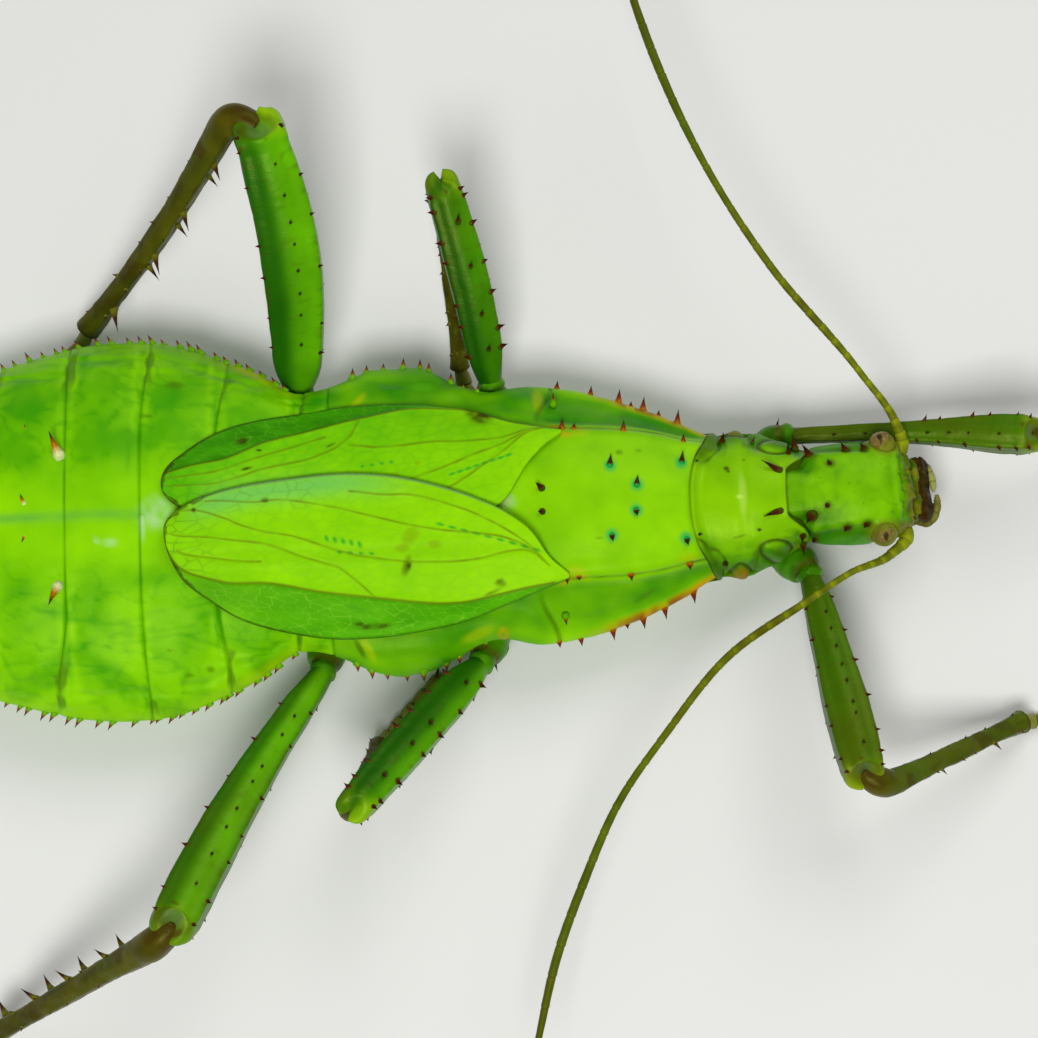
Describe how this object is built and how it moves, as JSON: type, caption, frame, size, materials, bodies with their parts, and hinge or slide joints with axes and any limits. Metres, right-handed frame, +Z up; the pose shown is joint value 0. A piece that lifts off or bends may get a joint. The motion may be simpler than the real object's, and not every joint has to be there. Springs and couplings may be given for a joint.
{
  "type": "stick insect",
  "caption": "Life-size still model of a broad, leaf-green giant stick insect standing at rest, with short folded fore wings and spiny legs and sides.",
  "frame": {"origin": "on the floor, in the middle of the flat under the third abdominal segment that the belly rests on", "axes": "+X towards the head, +Y to the insect's left, +Z up"},
  "size_m": [0.2069, 0.1418, 0.0313],
  "materials": {
    "body_cuticle": "satin leaf-green cuticle",
    "wing_leather": "satin veined green",
    "leg_cuticle": "satin dark green",
    "shin_cuticle": "satin olive brown",
    "feeler_cuticle": "satin olive",
    "eye_facets": "glossy ochre",
    "mouth_horn": "glossy dark brown",
    "palp_skin": "matt cream"
  },
  "bodies": {
    "root": {"abdomen_segment_1": "body_cuticle", "abdomen_segment_10": "body_cuticle", "abdomen_segment_2": "body_cuticle", "abdomen_segment_3": "body_cuticle", "abdomen_segment_4": "body_cuticle", "abdomen_segment_5": "body_cuticle", "abdomen_segment_6": "body_cuticle", "abdomen_segment_7": "body_cuticle", "abdomen_segment_8": "body_cuticle", "abdomen_segment_9": "body_cuticle", "antenna_left_middle": "feeler_cuticle", "antenna_left_scape": "feeler_cuticle", "antenna_left_tip": "feeler_cuticle", "antenna_right_middle": "feeler_cuticle", "antenna_right_scape": "feeler_cuticle", "antenna_right_tip": "feeler_cuticle", "epiproct": "body_cuticle", "eye_left": "eye_facets", "eye_right": "eye_facets", "head": "body_cuticle", "labrum": "mouth_horn", "left_fore_coxa": "leg_cuticle", "left_fore_femur": "leg_cuticle", "left_fore_tarsus": "shin_cuticle", "left_fore_tibia": "shin_cuticle", "left_hind_coxa": "leg_cuticle", "left_hind_femur": "leg_cuticle", "left_hind_tarsus": "shin_cuticle", "left_hind_tibia": "shin_cuticle", "left_mid_coxa": "leg_cuticle", "left_mid_femur": "leg_cuticle", "left_mid_tarsus": "shin_cuticle", "left_mid_tibia": "shin_cuticle", "mandible_left": "mouth_horn", "mandible_right": "mouth_horn", "mesothorax": "body_cuticle", "metathorax": "body_cuticle", "palp_left": "palp_skin", "palp_right": "palp_skin", "prothorax": "body_cuticle", "right_fore_coxa": "leg_cuticle", "right_fore_femur": "leg_cuticle", "right_fore_tarsus": "shin_cuticle", "right_fore_tibia": "shin_cuticle", "right_hind_coxa": "leg_cuticle", "right_hind_femur": "leg_cuticle", "right_hind_tarsus": "shin_cuticle", "right_hind_tibia": "shin_cuticle", "right_mid_coxa": "leg_cuticle", "right_mid_femur": "leg_cuticle", "right_mid_tarsus": "shin_cuticle", "right_mid_tibia": "shin_cuticle", "subgenital_plate": "body_cuticle", "tegmen_left": "wing_leather", "tegmen_right": "wing_leather"}
  },
  "joints": []
}
